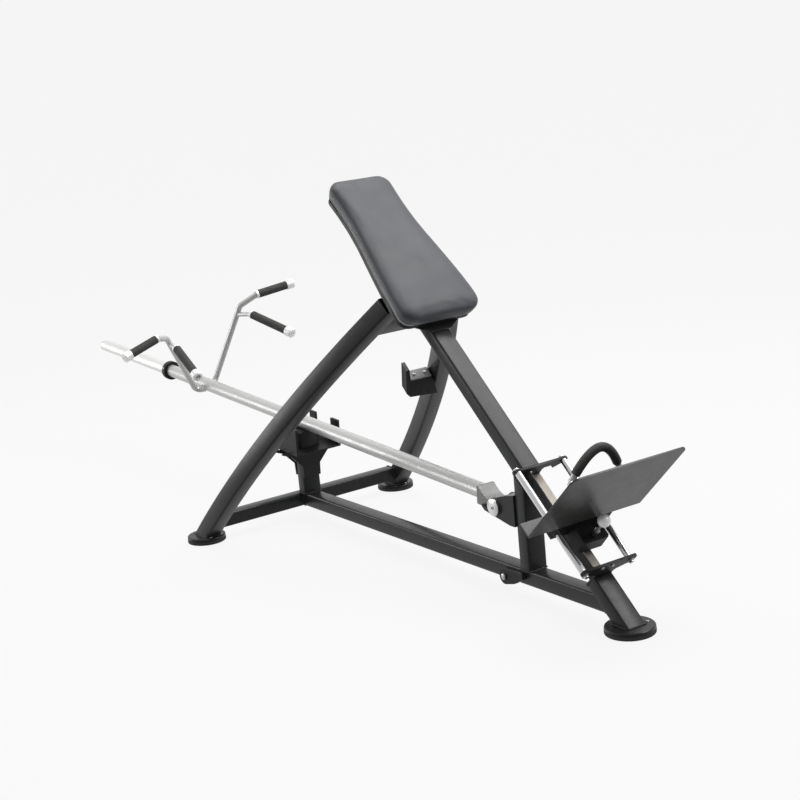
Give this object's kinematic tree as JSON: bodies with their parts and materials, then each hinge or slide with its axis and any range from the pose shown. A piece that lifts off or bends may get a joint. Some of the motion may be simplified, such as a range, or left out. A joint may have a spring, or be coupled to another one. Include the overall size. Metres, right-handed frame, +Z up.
{
  "type": "incline row machine",
  "caption": "Plate-loaded incline row machine: inclined spine with a chest pad, an arched front frame, a pivoting row bar with angled handles, and a sliding foot plate.",
  "frame": {"origin": "on the floor under the centre of the rear foot", "axes": "+Z up, +Y the way the user faces, towards the plate sleeve, +X the user's right"},
  "size_m": [0.928, 3.3593, 1.2062],
  "materials": {
    "frame_paint": "satin charcoal powder coat",
    "black_paint": "satin black powder coat",
    "silver_paint": "silver metallic paint",
    "bright_sleeve": "pale satin zinc",
    "chrome": "polished",
    "aluminium": "turned",
    "bare_strip": "bare strip with index holes",
    "rubber": "matte black",
    "grip_rubber": "textured matte black",
    "upholstery": "soft grey synthetic leather",
    "plywood": "plain",
    "steel": "zinc plated"
  },
  "bodies": {
    "frame": {"arch_cross_tube": "frame_paint", "bar_catch_bracket": "black_paint", "bar_catch_wear_plate": "rubber", "base_tube": "frame_paint", "chest_pad": "upholstery", "cradle_gusset_front": "frame_paint", "cradle_gusset_rear": "frame_paint", "cradle_post": "frame_paint", "cradle_saddle": "rubber", "cradle_tray": "black_paint", "cross_tube": "frame_paint", "frame_ear_bolt_left": "steel", "frame_ear_left": "frame_paint", "front_left_foot_disc": "frame_paint", "front_left_foot_rubber": "rubber", "front_right_foot_disc": "frame_paint", "front_right_foot_rubber": "rubber", "guide_rod_left": "chrome", "guide_rod_right": "chrome", "head_plate": "frame_paint", "index_beam": "black_paint", "index_strip": "bare_strip", "left_leg": "frame_paint", "pad_board": "plywood", "pivot_clevis": "frame_paint", "pivot_pin": "aluminium", "pivot_pin_cap": "aluminium", "rear_foot_disc": "frame_paint", "rear_foot_rubber": "rubber", "right_leg": "frame_paint", "rod_end_plate_lower": "black_paint", "rod_end_plate_upper": "black_paint", "spine_lower_tube": "frame_paint", "spine_upper_tube": "frame_paint", "upright_tube": "frame_paint"},
    "bar_carrier": {"pivot_boss": "silver_paint"},
    "bar_and_handles": {"row_bar": "silver_paint", "plate_stop_collar": "black_paint", "weight_sleeve": "bright_sleeve", "sleeve_end_plug": "bright_sleeve", "left_handle_tube": "silver_paint", "left_branch_tube": "silver_paint", "left_outer_grip": "grip_rubber", "left_outer_grip_cap": "aluminium", "left_inner_grip": "grip_rubber", "left_inner_grip_cap": "aluminium", "right_handle_tube": "silver_paint", "right_branch_tube": "silver_paint", "right_outer_grip": "grip_rubber", "right_outer_grip_cap": "aluminium", "right_inner_grip": "grip_rubber", "right_inner_grip_cap": "aluminium"},
    "carriage": {"foot_carriage": "black_paint", "foot_plate": "frame_paint", "adjusting_handle": "silver_paint", "adjusting_handle_sleeve": "grip_rubber", "plunger_nut": "steel"},
    "plunger": {"plunger_pin": "steel", "plunger_knob": "aluminium"}
  },
  "joints": [
    {"name": "bar_lift", "type": "hinge", "parent": "frame", "child": "bar_carrier", "pos_m": [0, 0.518, 0.264], "axis": [1, 0, 0], "range_deg": [0, 35]},
    {"name": "bar_swivel", "type": "hinge", "parent": "bar_carrier", "child": "bar_and_handles", "pos_m": [0, 0.5171, 0.27887], "axis": [0, 0.9982, 0.0605], "range_deg": [0, 24.4]},
    {"name": "foot_carriage_slide", "type": "slide", "parent": "frame", "child": "carriage", "axis": [0, 0.7325, 0.6807], "range_m": [0, 0.15]},
    {"name": "index_plunger", "type": "slide", "parent": "carriage", "child": "plunger", "axis": [0, -0.6807, 0.7325], "range_m": [0, 0.012], "stiffness_N_per_m": 500, "springref_m": -0.02}
  ]
}
